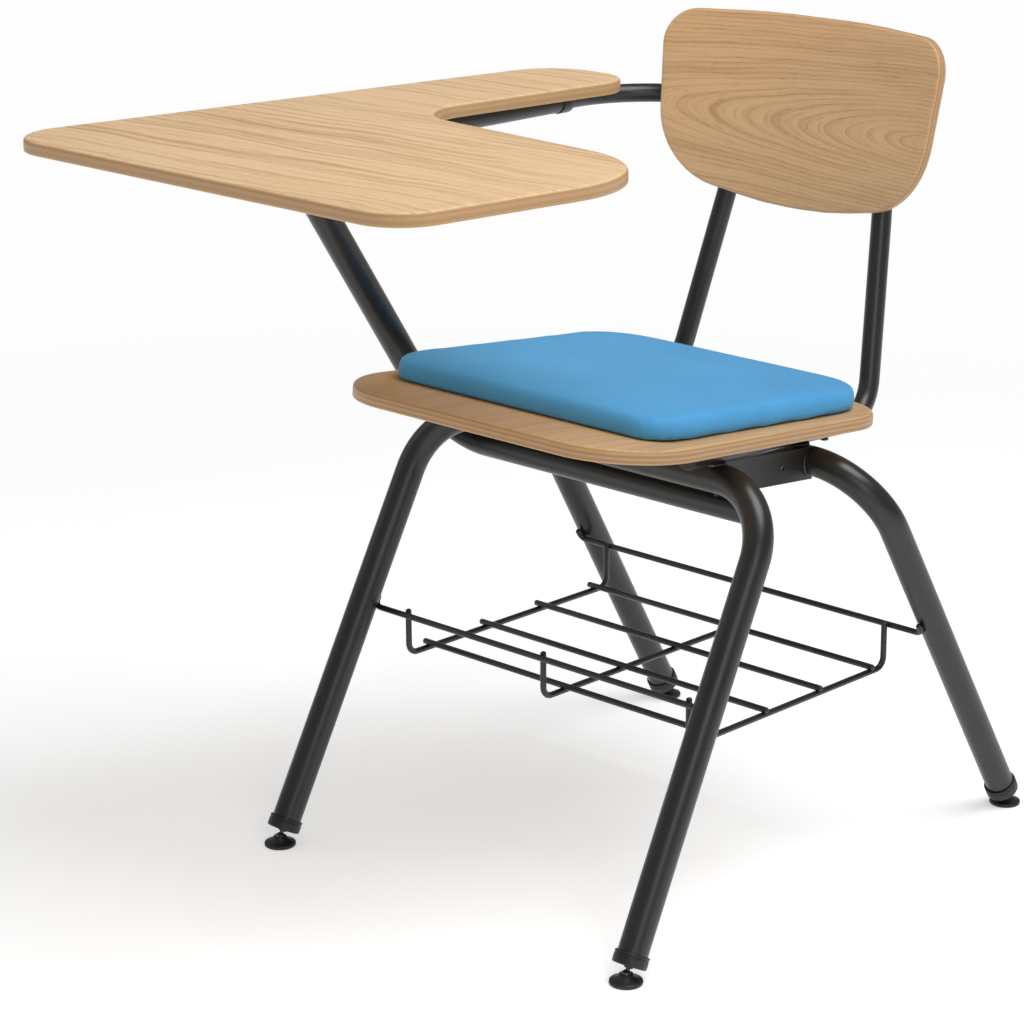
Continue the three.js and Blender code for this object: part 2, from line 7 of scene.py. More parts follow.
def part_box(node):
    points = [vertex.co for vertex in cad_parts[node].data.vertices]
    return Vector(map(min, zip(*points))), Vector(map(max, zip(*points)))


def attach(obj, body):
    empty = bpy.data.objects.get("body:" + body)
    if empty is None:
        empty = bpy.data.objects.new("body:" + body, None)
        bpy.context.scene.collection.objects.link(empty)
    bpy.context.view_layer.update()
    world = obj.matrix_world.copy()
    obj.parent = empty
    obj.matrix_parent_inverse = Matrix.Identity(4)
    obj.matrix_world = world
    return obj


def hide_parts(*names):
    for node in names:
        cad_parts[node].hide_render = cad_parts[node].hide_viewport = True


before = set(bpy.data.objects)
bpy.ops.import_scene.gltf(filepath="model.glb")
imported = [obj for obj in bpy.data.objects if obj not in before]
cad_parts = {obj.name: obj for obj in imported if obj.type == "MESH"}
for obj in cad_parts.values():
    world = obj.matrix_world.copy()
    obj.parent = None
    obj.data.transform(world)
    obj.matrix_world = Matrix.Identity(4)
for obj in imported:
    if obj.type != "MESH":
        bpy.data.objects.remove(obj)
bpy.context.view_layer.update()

# Sizes are in millimetres in the chair's own layout, as the CAD has them: X = 0 is the seat's
# middle plane, the sitter faces -Y and the floor is Z = 0. place() turns them into the frame.
MM = 0.001
# Pieces that touch stand GAP apart, as in the CAD, but a rack rail only CONTACT off its wires.
GAP, CONTACT = 0.3, 0.1


def middle(*nodes):
    """The middle of one or more CAD nodes' boxes, in metres."""
    boxes = [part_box(node) for node in nodes]
    low = [min(b[0][i] for b in boxes) for i in range(3)]
    high = [max(b[1][i] for b in boxes) for i in range(3)]
    return Vector((low[i] + high[i]) / 2 for i in range(3))


# The Y of the turned-up ends of the rack's long wires.
RACK_FRONT, RACK_REAR = -150.5, 141.0
SHIFT = Vector(
    (
        middle("left_side_plate", "right_side_plate").x,
        middle("rack_middle_long_wire").y - MM * (RACK_FRONT + RACK_REAR) / 2,
        0,
    )
)


def place(point):
    """A point of the chair's layout, in the frame's metres."""
    return Vector(point) * MM + SHIFT


# ---------------------------------------------------------------- sizes

LEG_R, BACK_R, ARM_R, STUB_R, WIRE_R = 14.3, 10.0, 11.5, 9.5, 3.0
SEAT_Z, TILT = 437.5, 0.095
# Each leg arch: the X and Y of a leg's axis at the floor and at the top, and its bends' radius.
FRONT = {"foot": (229.7, -291), "top": (220, -77), "bend": 68}
REAR = {"foot": (229, 297.5), "top": (221.5, 63), "bend": 73}
BALL_Z, CAP_Z = 8.2, 15.5
KNEE = (97.9, 229.5, 603.5)
BACK_TOP = (79, 748)
BACK_SLOPE = 0.176
BACK_LEAN = math.atan(BACK_SLOPE)
SUPPORT_X, BAR_Y, BAR_Z, BAR_END = -231.5, -46, 374.8, 170
STRUT_SLOPE, STRUT_BEND = 0.6575, 58.5
ARM_Z, ARM_FRONT, COLLAR_Y, COLLAR_LENGTH, STUB_BEND = 688.5, -300, 115, 15, 100
TABLET_PLATE_THICK = 2
TABLET_Z = ARM_Z + ARM_R + GAP + TABLET_PLATE_THICK + GAP
TABLET_THICK, SEAT_THICK, BACK_THICK = 12.7, 13.0, 11.5
SEAT_SCREW_Y = (-85, 106)
BACK_SCREW_Z = (645, 730)
# Where a back tube's run under the seat starts and ends: its X and its place along the board.
UNDER_SEAT_FRONT, UNDER_SEAT_REAR = (156, -125), (124, 182)
BACK_BENDS = (46, 300)
CAP_R, CAP_BORE, CAP_FLOOR = LEG_R + 2.1, 4.4, 3
BALL_R, STEM_R, STEM_NECK, STEM_COLLAR, DISC_R = 5.0, 4.0, 2.0, 4.3, 15.6
RACK_FLOOR_Z, CROSS_WIRE_Y, CROSS_WIRE_STEP, CROSS_WIRE_REACH = 182, -124, 80.9, 189
LONG_WIRE_STEP, LONG_WIRE_BEND, LONG_WIRE_TOPS = 183, 11, (223.5, 222.5)
RAIL_X, RAIL_Z, RAIL_RISE, RAIL_BEND = 224, 218.5, 11, 7
X_AXIS, Y_AXIS, Z_AXIS = Vector((1, 0, 0)), Vector((0, 1, 0)), Vector((0, 0, 1))


def seat_point(x, y, height):
    """A point above the seat board's underside, along the seat's normal."""
    return Vector(
        (
            x,
            y * math.cos(TILT) + height * math.sin(TILT),
            SEAT_Z - y * math.sin(TILT) + height * math.cos(TILT),
        )
    )


SEAT_TURN = Quaternion(X_AXIS, -TILT)


def arch_top_z(arch):
    """The height of an arch's top run, whose tube touches the back tubes above it."""
    below = (2 * BACK_R + LEG_R + 2 * GAP) / math.cos(TILT)
    return SEAT_Z - math.tan(TILT) * arch["top"][1] - below


def leg_point(arch, side, z):
    """A point of a leg's axis; side is -1 on the sitter's right and 1 on the left."""
    (foot_x, foot_y), (top_x, top_y) = arch["foot"], arch["top"]
    share = z / arch_top_z(arch)
    x = foot_x + (top_x - foot_x) * share
    return Vector((side * x, foot_y + (top_y - foot_y) * share, z))


def upright_point(side, z):
    """A point of a back tube's axis behind the backrest."""
    share = (z - KNEE[2]) / (BACK_TOP[1] - KNEE[2])
    x = KNEE[0] + (BACK_TOP[0] - KNEE[0]) * share
    return Vector((side * x, KNEE[1] + BACK_SLOPE * (z - KNEE[2]), z))


def under_seat_x(y):
    """How far a back tube is from the middle plane, at a place under the seat board."""
    (front_x, front_y), (rear_x, rear_y) = UNDER_SEAT_FRONT, UNDER_SEAT_REAR
    return front_x + (rear_x - front_x) * (y - front_y) / (rear_y - front_y)


# ---------------------------------------------------------------- materials


class Graph:
    """A material's node tree, with short calls to add and join nodes."""

    def __init__(self, name, **sockets):
        self.material = bpy.data.materials.new(name)
        self.material.use_nodes = True
        self.tree = self.material.node_tree
        self.shader = self.tree.nodes["Principled BSDF"]
        for socket, value in sockets.items():
            self.shader.inputs[socket.replace("_", " ")].default_value = value

    def node(self, kind, inputs=(), **settings):
        node = self.tree.nodes.new("ShaderNode" + kind)
        for key, value in settings.items():
            setattr(node, key, value)
        for socket, value in dict(inputs).items():
            self.join(value, node.inputs[socket])
        return node

    def join(self, value, socket):
        if isinstance(value, bpy.types.NodeSocket):
            self.tree.links.new(value, socket)
        elif isinstance(value, bpy.types.Node):
            self.tree.links.new(value.outputs[0], socket)
        else:
            socket.default_value = value

    def math(self, operation, a, b=0.0, c=0.0, clamp=False):
        node = self.node("Math", {0: a, 1: b, 2: c}, operation=operation, use_clamp=clamp)
        return node.outputs[0]

    def mix(self, share, a, b):
        node = self.node("Mix", data_type="RGBA")
        for socket, value in ((0, share), (6, a), (7, b)):
            self.join(value, node.inputs[socket])
        return node.outputs[2]

    def ramp(self, value, *stops):
        node = self.node("ValToRGB", {0: value})
        ramp = node.color_ramp
        while len(ramp.elements) < len(stops):
            ramp.elements.new(0.5)
        for element, (position, level) in zip(ramp.elements, stops):
            element.position = position
            colour = level if isinstance(level, tuple) else (level, level, level)
            element.color = (*colour, 1)
        return node.outputs[0]

    def noise(self, vector, scale, detail, roughness):
        inputs = {"Vector": vector, "Scale": scale, "Detail": detail, "Roughness": roughness}
        return self.node("TexNoise", inputs).outputs[0]

    def bump(self, height, distance, strength):
        node = self.node("Bump", {"Height": height, "Distance": distance, "Strength": strength})
        self.join(node, self.shader.inputs["Normal"])

    def centred(self, value):
        """A value from 0 to 1, moved to lie from -0.5 to 0.5."""
        return self.math("SUBTRACT", value, 0.5)

    def colour(self, value):
        self.join(value, self.shader.inputs["Base Color"])

    def rough(self, value):
        self.join(value, self.shader.inputs["Roughness"])


def object_space(graph):
    return graph.node("TexCoord").outputs["Object"]


def powder_coat():
    """Black powder-coated steel: an orange-peel skin with painted shade in its hollows."""
    graph = Graph("black_powder_coat", Specular_IOR_Level=0.56)
    space = object_space(graph)
    peel = graph.noise(space, scale=620, detail=3, roughness=0.6)
    cloud = graph.noise(space, scale=9, detail=3, roughness=0.55)
    # Painted shade: the colour is darker where the peel's bump is low, mixed with a random cloudy
    # mottle.
    tone = graph.math("MULTIPLY_ADD", cloud, 0.55, graph.math("MULTIPLY", peel, 0.45))
    graph.colour(graph.ramp(tone, (0.25, (0.008, 0.008, 0.0077)), (0.75, (0.019, 0.0186, 0.0176))))
    graph.rough(graph.math("MULTIPLY_ADD", tone, 0.14, 0.25))
    graph.bump(peel, distance=0.00018, strength=0.55)
    return graph.material


def moulded_plastic():
    """Black plastic with a fine moulded grain."""
    graph = Graph("black_plastic", Specular_IOR_Level=0.45)
    space = object_space(graph)
    grain = graph.noise(space, scale=1500, detail=2, roughness=0.5)
    cloud = graph.noise(space, scale=40, detail=2, roughness=0.5)
    graph.colour(graph.ramp(cloud, (0.3, (0.009, 0.009, 0.009)), (0.7, (0.017, 0.017, 0.0165))))
    graph.rough(graph.math("MULTIPLY_ADD", grain, 0.16, 0.36))
    graph.bump(grain, distance=0.00008, strength=0.6)
    return graph.material


def zinc():
    """Black zinc plating, worn a little lighter in places."""
    graph = Graph("black_zinc", Metallic=0.9)
    space = object_space(graph)
    wear = graph.noise(space, scale=260, detail=4, roughness=0.6)
    graph.colour(graph.ramp(wear, (0.35, (0.05, 0.05, 0.052)), (0.75, (0.2, 0.195, 0.19))))
    graph.rough(graph.math("MULTIPLY_ADD", wear, 0.25, 0.22))
    graph.bump(wear, distance=0.00005, strength=0.5)
    return graph.material


def scaled(graph, a, b, c, factors):
    """A vector of three sockets, each times its own factor."""
    parts = [graph.math("MULTIPLY", value, factor) for value, factor in zip((a, b, c), factors)]
    return graph.node("CombineXYZ", dict(enumerate(parts))).outputs[0]


def wood(name, light, dark, edge_light, edge_dark, ply, figure):
    """Lacquered wood. The mesh's "grain" attribute gives each point's place along the grain,
    across it and through the thickness, in metres, and "rim" is 1 on the cut edge. ply is the
    thickness of one ply, and figure holds the grain's field and the weight of each pattern."""
    graph = Graph(name, Specular_IOR_Level=0.32, Coat_Weight=0.08, Coat_Roughness=0.28)
    grain = graph.node("Attribute", attribute_name="grain").outputs["Vector"]
    split = graph.node("SeparateXYZ", {0: grain})
    along, across, depth = split.outputs

    def stretched(second, factors, detail, roughness):
        """Noise with a scale of its own along the grain, across it and through it."""
        vector = scaled(graph, along, second, depth, factors)
        return graph.noise(vector, 1, detail, roughness)

    def layered(tone, pattern, weight):
        return graph.math("MULTIPLY_ADD", graph.centred(pattern), weight, tone)

    flow = graph.centred(stretched(across, (5, 13, 5), 3, 0.55))
    ripple = graph.centred(stretched(across, (26, 90, 20), 2, 0.5))
    sway = graph.math("MULTIPLY", flow, figure["sway"])
    bend = graph.math("MULTIPLY_ADD", ripple, figure["ripple"], sway)
    field = figure["field"](graph, along, across, bend)
    ring = graph.math("FRACT", graph.math("MULTIPLY", field, figure["rings"]))
    late = graph.ramp(ring, (0.0, 0.1), (0.55, 0.25), (0.86, 1.0), (0.93, 0.95), (1.0, 0.1))
    fibre = stretched(field, (14, 1100, 40), 3, 0.6)
    streak = stretched(field, (3.2, 120, 8), 2, 0.5)
    pore = stretched(field, (75, 2600, 90), 1, 0.4)
    pore = graph.ramp(pore, (0.6, 0.0), (0.72, 1.0))
    band = stretched(field, (1.6, 22, 3), 2, 0.5)
    tone = graph.math("MULTIPLY", late, figure["late"])
    tone = layered(tone, fibre, figure["fibre"])
    tone = layered(tone, streak, figure["streak"])
    tone = layered(tone, band, figure["band"])
    tone = graph.math("MULTIPLY_ADD", pore, figure["pore"], tone, clamp=True)
    face = graph.mix(tone, (*light, 1), (*dark, 1))
    layer = graph.math("FRACT", graph.math("DIVIDE", depth, ply * MM * 2))
    speck = graph.centred(stretched(across, (420, 420, 2400), 2, 0.6))
    ply_lines = ((0.0, 0.25), (0.44, 0.35), (0.5, 1.0), (0.56, 0.7), (0.94, 0.6), (1.0, 0.25))
    lines = graph.ramp(layer, *ply_lines)
    cut = graph.math("MULTIPLY_ADD", speck, 0.5, lines, clamp=True)
    side = graph.mix(cut, (*edge_light, 1), (*edge_dark, 1))
    rim = graph.node("Attribute", attribute_name="rim").outputs["Fac"]
    graph.colour(graph.mix(rim, face, side))
    graph.rough(graph.math("MULTIPLY_ADD", tone, 0.12, 0.38))
    relief = graph.math("MULTIPLY_ADD", pore, -0.8, graph.math("MULTIPLY", fibre, 0.5))
    relief = graph.math("MULTIPLY_ADD", graph.math("MULTIPLY", cut, rim), -0.9, relief)
    graph.bump(relief, distance=0.00012, strength=0.5)
    return graph.material


def straight_figure(graph, along, across, bend):
    """Rift-cut grain: lines along the grain that only sway."""
    return graph.math("ADD", across, bend)


def flame_figure(tip, reach, power):
    """Flat-cut grain: nested flames that open away from a tip, wider apart further from it."""

    def field(graph, along, across, bend):
        distance = graph.math("ABSOLUTE", graph.math("SUBTRACT", along, tip[0]))
        a = graph.math("MULTIPLY", graph.math("POWER", distance, power), reach)
        b = graph.math("ADD", graph.math("SUBTRACT", across, tip[1]), bend)
        squares = graph.math("MULTIPLY_ADD", a, a, graph.math("MULTIPLY", b, b))
        return graph.math("SQRT", squares)

    return field


# The weave's angle per metre, and how far it leans with height so that it also shows on sides.
THREAD_RATE, THREAD_LEAN = 5200, 0.6


def upholstery():
    """Smooth sky-blue upholstery: a fine weave that shows only in its sheen."""
    graph = Graph("seat_fabric", Sheen_Weight=0.08, Sheen_Roughness=0.4, Specular_IOR_Level=0.18)
    space = object_space(graph)
    x, y, z = graph.node("SeparateXYZ", {0: space}).outputs
    lean = graph.math("MULTIPLY", z, THREAD_LEAN)
    across, along = graph.math("ADD", x, lean), graph.math("SUBTRACT", y, lean)
    warp = graph.math("SINE", graph.math("MULTIPLY", across, THREAD_RATE))
    weft = graph.math("SINE", graph.math("MULTIPLY", along, THREAD_RATE))
    weave = graph.math("MULTIPLY", warp, weft)
    slub = graph.noise(space, scale=900, detail=3, roughness=0.6)
    cloud = graph.noise(space, scale=7, detail=3, roughness=0.5)
    tone = graph.math("MULTIPLY_ADD", slub, 0.35, graph.math("MULTIPLY", cloud, 0.65))
    low, high = (0.072, 0.32, 0.62), (0.098, 0.395, 0.74)
    graph.colour(graph.ramp(tone, (0.3, low), (0.7, high)))
    graph.rough(graph.math("MULTIPLY_ADD", slub, 0.2, 0.62))
    graph.bump(graph.math("MULTIPLY_ADD", weave, 0.5, slub), distance=0.00012, strength=0.5)
    return graph.material


STEEL = powder_coat()
PLASTIC = moulded_plastic()
ZINC = zinc()
FABRIC = upholstery()
SEAT_WOOD = wood(
    "seat_plywood",
    (0.66, 0.42, 0.215),
    (0.37, 0.2, 0.085),
    (0.6, 0.38, 0.195),
    (0.3, 0.16, 0.07),
    2.2,
    {
        "field": straight_figure,
        "rings": 150,
        "sway": 0.035,
        "ripple": 0.002,
        "late": 0.38,
        "fibre": 1.2,
        "streak": 1.1,
        "band": 0.5,
        "pore": 0.25,
    },
)
BACK_WOOD = wood(
    "back_plywood",
    (0.74, 0.46, 0.235),
    (0.44, 0.228, 0.1),
    (0.62, 0.39, 0.19),
    (0.3, 0.155, 0.065),
    1.9,
    {
        "field": flame_figure((0.158, -0.018), 0.1, 0.72),
        "rings": 255,
        "sway": 0.012,
        "ripple": 0.0011,
        "late": 0.44,
        "fibre": 1.3,
        "streak": 1.1,
        "band": 0.3,
        "pore": 0.5,
    },
)
TABLET_WOOD = wood(
    "tablet_wood",
    (0.87, 0.6, 0.34),
    (0.5, 0.275, 0.122),
    (0.57, 0.355, 0.175),
    (0.4, 0.235, 0.11),
    3.1,
    {
        "field": straight_figure,
        "rings": 70,
        "sway": 0.04,
        "ripple": 0.002,
        "late": 0.34,
        "fibre": 1.4,
        "streak": 2.0,
        "band": 1.6,
        "pore": 0.6,
    },
)

# ---------------------------------------------------------------- meshes

SLOTS = {
    "black_powder_coat": STEEL,
    "black_plastic": PLASTIC,
    "zinc_black_screws": ZINC,
    "seat_fabric": FABRIC,
}


def new_object(name, mesh):
    item = bpy.data.objects.new(name, mesh)
    bpy.context.collection.objects.link(item)
    return item


def finish_piece(name, mesh, slot, nodes=(), body="chair", material=None, sharp=35):
    """Makes an object of a mesh in metres, smooth up to the sharp angle in degrees."""
    build = bmesh.new()
    build.from_mesh(mesh)
    bmesh.ops.recalc_face_normals(build, faces=build.faces)
    for face in build.faces:
        face.smooth = True
    for edge in build.edges:
        if len(edge.link_faces) == 2:
            edge.smooth = edge.calc_face_angle(0) < math.radians(sharp)
    build.to_mesh(mesh)
    build.free()
    mesh.materials.clear()
    mesh.materials.append(material or SLOTS[slot])
    piece = new_object(name, mesh)
    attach(piece, body)
    if nodes:
        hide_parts(*nodes)


def loops_mesh(name, loops, ring=False):
    """A mesh of quads between successive loops of points, with a face on each end. A ring
    joins its last loop to its first instead."""
    build = bmesh.new()
    rows = [[build.verts.new(point) for point in loop] for loop in loops]
    count = len(rows[0])
    if ring:
        rows.append(rows[0])
    for row, following in zip(rows, rows[1:]):
        for i in range(count):
            j = (i + 1) % count
            build.faces.new((row[i], row[j], following[j], following[i]))
    if not ring:
        build.faces.new(rows[0][::-1])
        build.faces.new(rows[-1])
    mesh = bpy.data.meshes.new(name)
    build.to_mesh(mesh)
    build.free()
    return mesh


TURNED_SIDES = 48


def full_turn(steps):
    """Angles evenly round a circle."""
    return [2 * math.pi * k / steps for k in range(steps)]


def bent_path(corners, radii, step=math.radians(4)):
    """Points and tangents along straight runs joined by circular bends."""
    corners = [Vector(corner) for corner in corners]
    stations = []
    for i, corner in enumerate(corners):
        if i == 0 or i == len(corners) - 1:
            other = corners[1] if i == 0 else corners[-2]
            tangent = (other - corner) if i == 0 else (corner - other)
            stations.append((corner, tangent.normalized()))
            continue
        inward = (corner - corners[i - 1]).normalized()
        outward = (corners[i + 1] - corner).normalized()
        turn = inward.angle(outward)
        axis = inward.cross(outward).normalized()
        radius = radii[i - 1]
        start = corner - inward * radius * math.tan(turn / 2)
        centre = start + axis.cross(inward) * radius
        steps = max(2, math.ceil(turn / step))
        for k in range(steps + 1):
            rotation = Quaternion(axis, turn * k / steps)
            stations.append((centre + rotation @ (start - centre), rotation @ inward))
    return stations


DOME_ANGLES = [math.radians(angle) for angle in (75, 50, 25)]


def swept_mesh(name, stations, radius, sides, dome):
    """A round bar along a path. A dome rounds its ends, by that share of the radius."""
    tangent = stations[0][1]
    side = tangent.orthogonal().normalized()
    loops = []
    rows = [(point, direction, 1.0) for point, direction in stations]
    if dome:
        (first, ahead), (last, behind) = stations[0], stations[-1]
        height = radius * dome
        head = [
            (first + ahead * height * (1 - math.sin(a)), ahead, math.cos(a)) for a in DOME_ANGLES
        ]
        tail = [
            (last - behind * height * (1 - math.sin(a)), behind, math.cos(a))
            for a in reversed(DOME_ANGLES)
        ]
        rows[0] = (first + ahead * height, ahead, 1.0)
        rows[-1] = (last - behind * height, behind, 1.0)
        rows = head + rows + tail
    for point, direction, share in rows:
        side = tangent.rotation_difference(direction) @ side
        side = (side - direction * side.dot(direction)).normalized()
        tangent = direction
        other = direction.cross(side)
        offsets = [(side * math.cos(a) + other * math.sin(a)) for a in full_turn(sides)]
        loops.append([place(point + offset * radius * share) for offset in offsets])
    return loops_mesh(name, loops)


def bar(name, stations, radius, nodes, sides, dome=0.0):
    """A powder-coated tube or wire along a path."""
    mesh = swept_mesh(name, stations, radius, sides, dome)
    finish_piece(name, mesh, "black_powder_coat", nodes)


def turned(name, profile, slot, nodes, origin, turn, body="chair"):
    """A turned piece: a profile of (radius, height) round an axis along Z, turned and moved."""
    origin = Vector(origin)
    build = bmesh.new()
    rows = []
    for radius, height in profile:
        if radius < 1e-6:
            rows.append([build.verts.new(place(origin + turn @ Vector((0, 0, height))))])
            continue
        row = []
        for angle in full_turn(TURNED_SIDES):
            local = Vector((radius * math.cos(angle), radius * math.sin(angle), height))
            row.append(build.verts.new(place(origin + turn @ local)))
        rows.append(row)
    for row, following in zip(rows, rows[1:]):
        for k in range(TURNED_SIDES):
            j = (k + 1) % TURNED_SIDES
            corners = [row[k % len(row)], row[j % len(row)], following[j % len(following)]]
            corners.append(following[k % len(following)])
            unique = list(dict.fromkeys(corners))
            if len(unique) > 2:
                build.faces.new(unique)
    mesh = bpy.data.meshes.new(name)
    build.to_mesh(mesh)
    build.free()
    finish_piece(name, mesh, slot, nodes, body)


def arc(radius, centre, start, end, steps):
    """Points (radius, height) on a circle in a profile, between two angles in degrees."""
    return [
        (
            centre[0] + radius * math.cos(math.radians(start + (end - start) * k / steps)),
            centre[1] + radius * math.sin(math.radians(start + (end - start) * k / steps)),
        )
        for k in range(steps + 1)
    ]


def towards(direction):
    """The turn that takes the Z axis to a direction."""
    return Z_AXIS.rotation_difference(Vector(direction))


# ---------------------------------------------------------------- boards


def rounded_outline(corners, step=math.radians(5), spacing=12):
    """(point, outward normal) pairs round an outline of (x, y, radius) corners."""
    points = [Vector(corner[:2]) for corner in corners]
    arcs = []
    for i, (_, _, radius) in enumerate(corners):
        corner = points[i]
        inward = (corner - points[i - 1]).normalized()
        outward = (points[(i + 1) % len(points)] - corner).normalized()
        turn = math.atan2(inward.x * outward.y - inward.y * outward.x, inward.dot(outward))
        side = math.copysign(1, turn)
        start = corner - inward * radius * abs(math.tan(turn / 2))
        centre = start + Vector((-inward.y, inward.x)) * side * radius
        steps = max(2, math.ceil(abs(turn) / step))
        arc_points = []
        for k in range(steps + 1):
            rotation = Matrix.Rotation(turn * k / steps, 2)
            offset = rotation @ (start - centre)
            arc_points.append((centre + offset, offset.normalized() * side))
        arcs.append(arc_points)
    result = []
    for i, arc_points in enumerate(arcs):
        result += arc_points
        (last, normal), (following, _) = arc_points[-1], arcs[(i + 1) % len(arcs)][0]
        gap = (following - last).length
        pieces = max(1, round(gap / spacing))
        result += [(last.lerp(following, k / pieces), normal) for k in range(1, pieces)]
    return result


def mirrored(right):
    """Corners with X above 0, followed by their mirror images."""
    return right + [(-x, y, radius) for x, y, radius in reversed(right)]


def edge_profile(thick, edge, lower_edge, steps=5):
    """(inset, depth) from the underside's flat, round the rim, to the top's flat."""
    angles = [math.pi / 2 * k / steps for k in range(steps + 1)]
    lower, upper = (
        [(radius - radius * math.sin(a), radius - radius * math.cos(a)) for a in angles]
        for radius in (lower_edge, edge)
    )
    return lower + [(inset, thick - depth) for inset, depth in reversed(upper)]


# A loop just inside a board's rim keeps its face flat. The wood turns from face grain to cut
# edge between these shares of the edge radius.
SUPPORT_LOOP, RIM_START, RIM_BLEND = 1.5, 0.12, 0.3


def board(name, outline, thick, edges, mapping, grain, slot, material, nodes, rings=0):
    """A board with a rounded rim, edges being its upper and lower radii. mapping takes
    (x, y, depth) to the chair's layout, and grain takes (x, y) to the place along and across
    the grain. With rings, its two faces are laid out in loops, so that they can curve."""
    build = bmesh.new()
    grain_layer = build.verts.layers.float_vector.new("grain")
    rim_layer = build.verts.layers.float.new("rim")

    def vertex(x, y, depth, rim):
        vert = build.verts.new(place(mapping(x, y, depth)))
        a, b = grain(x, y)
        vert[grain_layer] = Vector((a, b, depth)) * MM
        vert[rim_layer] = rim
        return vert

    edge, lower_edge = edges
    profile = edge_profile(thick, edge, lower_edge)
    support = edge + SUPPORT_LOOP
    profile = [(support, 0.0)] + profile + [(support, thick)]
    rows = []
    for inset, depth in profile:
        facing = min(depth / lower_edge, (thick - depth) / edge)
        rim = min(1.0, max(0.0, (facing - RIM_START) / RIM_BLEND))
        rows.append(
            [
                vertex(point.x - normal.x * inset, point.y - normal.y * inset, depth, rim)
                for point, normal in outline
            ]
        )
    count = len(outline)
    centre = sum((point for point, _ in outline), Vector((0, 0))) / count

    def cap(row, depth, flip):
        inner = row
        for ring in range(1, rings):
            share = 1 - ring / rings
            following = []
            for point, normal in outline:
                edge_point = point - normal * support
                spot = centre + (edge_point - centre) * share
                following.append(vertex(spot.x, spot.y, depth, 0.0))
            for i in range(count):
                j = (i + 1) % count
                quad = (inner[i], inner[j], following[j], following[i])
                build.faces.new(quad[::-1] if flip else quad)
            inner = following
        if rings:
            hub = vertex(centre.x, centre.y, depth, 0.0)
            for i in range(count):
                j = (i + 1) % count
                tri = (inner[i], inner[j], hub)
                build.faces.new(tri[::-1] if flip else tri)
        else:
            build.faces.new(inner[::-1] if flip else inner)

    for row, following in zip(rows, rows[1:]):
        for i in range(count):
            j = (i + 1) % count
            build.faces.new((row[i], row[j], following[j], following[i]))
    cap(rows[0], 0.0, True)
    cap(rows[-1], thick, False)
    mesh = bpy.data.meshes.new(name)
    build.to_mesh(mesh)
    build.free()
    finish_piece(name, mesh, slot, nodes, material=material, sharp=60)


# ---------------------------------------------------------------- legs and feet

for name, arch in (("front", FRONT), ("rear", REAR)):
    top_z = arch_top_z(arch)
    corners = [
        leg_point(arch, -1, CAP_Z + CAP_FLOOR),
        leg_point(arch, -1, top_z),
        leg_point(arch, 1, top_z),
        leg_point(arch, 1, CAP_Z + CAP_FLOOR),
    ]
    path = bent_path(corners, [arch["bend"]] * 2)
    bar(f"{name}_leg_tube", path, LEG_R, [f"{name}_leg_arch"], sides=56)


def cap_profile():
    """A leg cap: a bored floor, a groove round its wall and a rounded top rim."""
    profile = [(CAP_BORE, 16), (CAP_BORE, 0)]
    profile += arc(1.6, (CAP_R - 1.6, 1.6), -90, 0, 5)
    profile += [(CAP_R, 8.2), (CAP_R - 0.5, 8.7), (CAP_R - 0.5, 9.3), (CAP_R, 9.8)]
    profile += arc(0.8, (CAP_R - 0.8, 11.2), 0, 90, 4)
    return profile + [(LEG_R + 0.05, 12), (LEG_R + 0.05, CAP_FLOOR), (CAP_BORE, CAP_FLOOR)]


def stem_profile(to_cap):
    """A glide's stem up from its ball's middle: ball, neck, collar under the cap, and rod."""
    profile = arc(BALL_R, (0, 0), -90, 66, 12)
    profile += [(STEM_NECK, to_cap - 2.4), (STEM_COLLAR, to_cap - 1.6)]
    profile += [(STEM_COLLAR, to_cap - 0.4), (STEM_R, to_cap - 0.3)]
    return profile + [(STEM_R, to_cap + 14), (0, to_cap + 15)]


def disc_profile():
    """A glide's disc up from the floor: a rounded rim, a cone, a lip and the ball's socket."""
    profile = [(0, 0), (DISC_R - 1.2, 0)]
    profile += arc(1.2, (DISC_R - 1.2, 1.2), -90, 0, 4)
    profile += arc(1.2, (DISC_R - 1.2, 2.6), 0, 70, 4)
    profile += [(12.2, 4.5), (9.2, 6.2), (7.2, 8.0)]
    profile += arc(0.6, (5.9, 9.2), 20, 110, 4)
    return profile + arc(BALL_R + GAP, (0, BALL_Z), 18, -90, 10)


for end, arch in (("front", FRONT), ("rear", REAR)):
    for hand, side in (("right", -1), ("left", 1)):
        foot = f"{end}_{hand}"
        axis = (leg_point(arch, side, 100) - leg_point(arch, side, 0)).normalized()
        lean = towards(axis)
        cap_base = leg_point(arch, side, CAP_Z)
        ball = leg_point(arch, side, BALL_Z)
        to_cap = (cap_base - ball).length
        cap_node, stem_node, disc_node = f"{foot}_leg_cap", f"{foot}_glide_stem", f"{foot}_glide_disc"
        stem = stem_profile(to_cap)
        turned(f"{foot}_cap", cap_profile(), "black_plastic", [cap_node], cap_base, lean)
        turned(f"{foot}_stem", stem, "zinc_black_screws", [stem_node], ball, lean)
        turned(
            f"{foot}_glide",
            disc_profile(),
            "black_plastic",
            [disc_node],
            (ball.x, ball.y, 0),
            Quaternion(),
            f"{foot}_glide",
        )

# ---------------------------------------------------------------- back frame


def plug(name, node, tube_r, flange, corner, crown, end, outward):
    """A tube's end plug: a flange wider than the tube, rounded over to its crown. corner is
    the rounding's radius and height."""
    rim = tube_r + flange
    radius, height = corner
    profile = [(0, -0.6), (tube_r - 0.4, -0.6), (rim, 0.2)]
    profile += arc(radius, (rim - radius, height), 0, 80, 5) + crown
    turned(name, profile, "black_plastic", [node], end, towards(outward))


